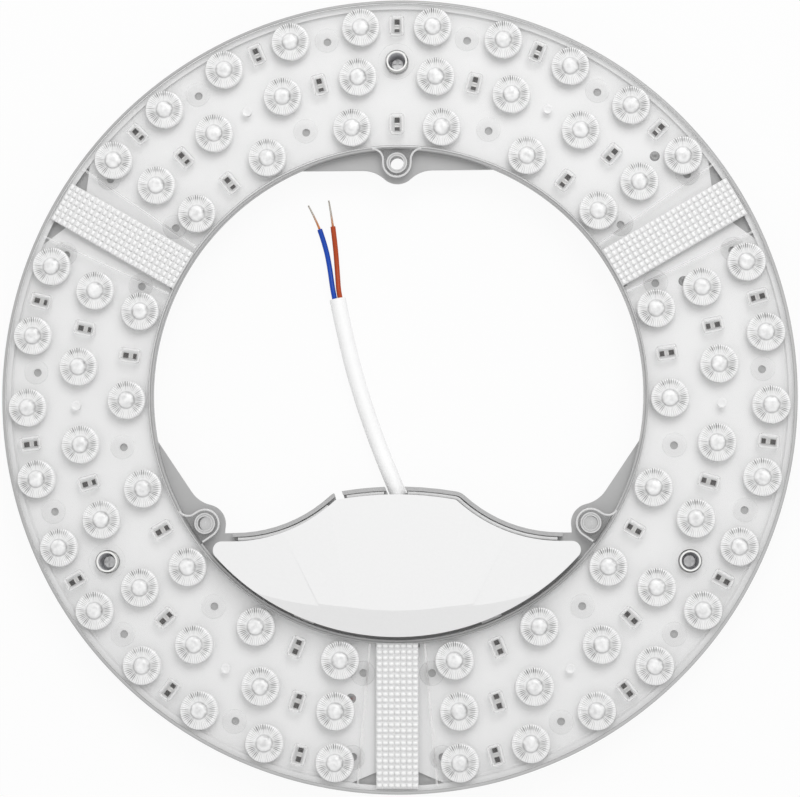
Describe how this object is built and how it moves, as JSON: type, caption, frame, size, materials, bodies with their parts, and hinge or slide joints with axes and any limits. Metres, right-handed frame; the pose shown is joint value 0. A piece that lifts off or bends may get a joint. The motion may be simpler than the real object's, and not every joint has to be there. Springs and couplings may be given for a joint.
{
  "type": "magnetic led ceiling module",
  "caption": "Ring-shaped LED light module with clear lens cover, built-in driver, magnets on its back and a short two-core supply lead, for refitting a ceiling lamp.",
  "frame": {"origin": "middle of the ring, on the plane of the three magnets' faces", "axes": "+Z the way the light goes, away from the ceiling plate; +Y from the driver to the far side of the ring; +X to the right seen from the light side"},
  "size_m": [0.3, 0.3, 0.026],
  "materials": {
    "clear_plastic": "clear moulded acrylic, glossy",
    "grey_tray_plastic": "moulded grey plastic, satin",
    "white_board": "white solder resist on aluminium",
    "led_package": "white package with pale phosphor",
    "chip_black": "chip resistor with tinned ends",
    "plated_steel": "zinc-plated deep-drawn steel",
    "magnet_nickel": "nickel-plated sintered magnet",
    "white_nylon": "white nylon",
    "screw_steel": "zinc-plated steel",
    "white_plastic": "white moulded plastic, satin",
    "circuit_board": "phenolic paper board",
    "ferrite": "sintered ferrite",
    "winding_tape": "polyester tape over the winding",
    "capacitor_sleeve": "aluminium can in a dark sleeve",
    "component_black": "moulded epoxy",
    "film_yellow": "boxed film capacitor",
    "fuse_ceramic": "ceramic tube",
    "terminal_plastic": "polyamide terminal block",
    "clamp_nylon": "white nylon",
    "sheath_white": "white PVC, satin",
    "core_blue": "blue PVC insulation",
    "core_brown": "brown PVC insulation",
    "tinned_copper": "tinned copper",
    "wire_red": "red insulation",
    "wire_black": "black insulation",
    "wire_white": "white insulation"
  },
  "bodies": {
    "root": {"base_tray": "grey_tray_plastic", "board_jumpers": "wire_white", "bridge_rectifier": "component_black", "cord_clamp": "clamp_nylon", "cord_clamp_screws": "screw_steel", "cord_sheath": "sheath_white", "core_blue": "core_blue", "core_brown": "core_brown", "driver_board": "circuit_board", "driver_board_screws": "screw_steel", "driver_chip": "component_black", "driver_cover": "white_plastic", "film_capacitor": "film_yellow", "fuse": "fuse_ceramic", "inner_lead_blue": "core_blue", "inner_lead_brown": "core_brown", "input_capacitor": "capacitor_sleeve", "input_choke": "component_black", "input_terminal": "terminal_plastic", "led_board_left": "white_board", "led_board_right": "white_board", "led_board_top": "white_board", "leds_left": "led_package", "leds_right": "led_package", "leds_top": "led_package", "lens_cover": "clear_plastic", "magnet_cup_left": "plated_steel", "magnet_cup_right": "plated_steel", "magnet_cup_top": "plated_steel", "magnet_ring_left": "magnet_nickel", "magnet_ring_right": "magnet_nickel", "magnet_ring_top": "magnet_nickel", "magnet_screws": "screw_steel", "magnet_sleeve_left": "white_nylon", "magnet_sleeve_right": "white_nylon", "magnet_sleeve_top": "white_nylon", "output_capacitor": "capacitor_sleeve", "output_diode": "component_black", "output_lead_black": "wire_black", "output_lead_red": "wire_red", "output_terminal": "terminal_plastic", "resistors_left": "chip_black", "resistors_right": "chip_black", "resistors_top": "chip_black", "seam_links": "tinned_copper", "strands_blue": "tinned_copper", "strands_brown": "tinned_copper", "transformer_core": "ferrite", "transformer_winding": "winding_tape"}
  },
  "joints": []
}
